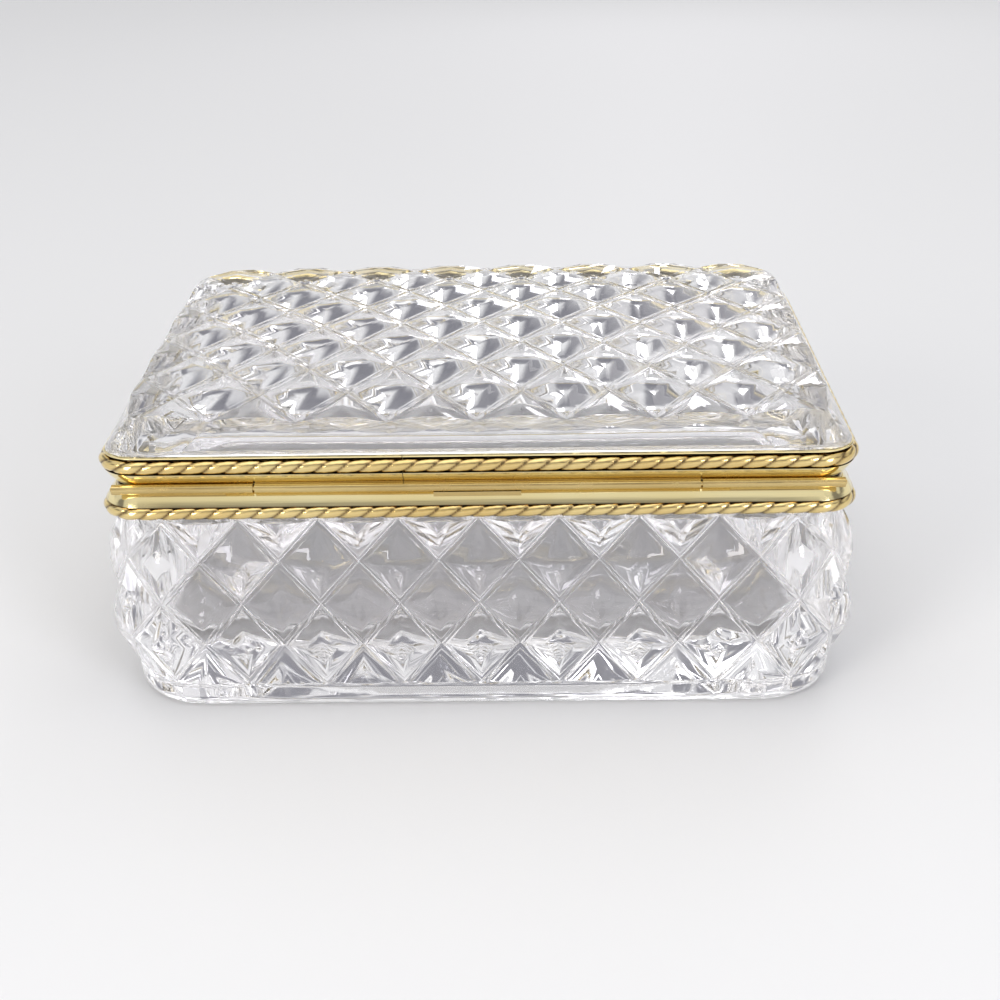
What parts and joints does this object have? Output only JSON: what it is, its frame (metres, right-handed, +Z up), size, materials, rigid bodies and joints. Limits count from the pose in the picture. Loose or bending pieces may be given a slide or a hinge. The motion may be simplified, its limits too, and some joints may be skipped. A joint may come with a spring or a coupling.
{
  "type": "glass casket box",
  "caption": "Rectangular crystal casket with a diamond lattice, brass-mounted rims with twisted borders, a lid on a full-length rear hinge and a small front clasp.",
  "frame": {"origin": "centre of the foot's underside", "axes": "+Z up, X along the length, -Y the opening side with the clasp, +Y the hinge side"},
  "size_m": [0.1552, 0.1199, 0.068],
  "materials": {
    "crystal": "clear pressed and polished lead crystal",
    "brass": "polished pale brass",
    "brass_border": "polished brass, darker in the twist's grooves",
    "hinge_brass": "drawn brass, lightly brushed",
    "cement": "matte white plaster cement"
  },
  "bodies": {
    "bowl": {"glass_bowl": "crystal", "bowl_bedding": "cement", "bowl_mount": "brass", "bowl_border": "brass_border", "left_hinge_knuckle": "hinge_brass", "right_hinge_knuckle": "hinge_brass", "hinge_pin": "hinge_brass", "stop_lug": "hinge_brass", "catch_bead": "brass"},
    "lid": {"glass_lid": "crystal", "lid_bedding": "cement", "lid_mount": "brass", "lid_border": "brass_border", "centre_hinge_knuckle": "hinge_brass", "clasp_bracket": "brass", "clasp_pin": "hinge_brass"},
    "clasp": {"clasp_tongue": "brass"}
  },
  "joints": [
    {"name": "lid_hinge", "type": "hinge", "parent": "bowl", "child": "lid", "pos_m": [0, 0.0559, 0.0502], "axis": [-1, 0, 0], "range_deg": [0, 100]},
    {"name": "clasp_pivot", "type": "hinge", "parent": "lid", "child": "clasp", "pos_m": [0, -0.0594, 0.0531], "axis": [-1, 0, 0], "range_deg": [0, 85]}
  ]
}
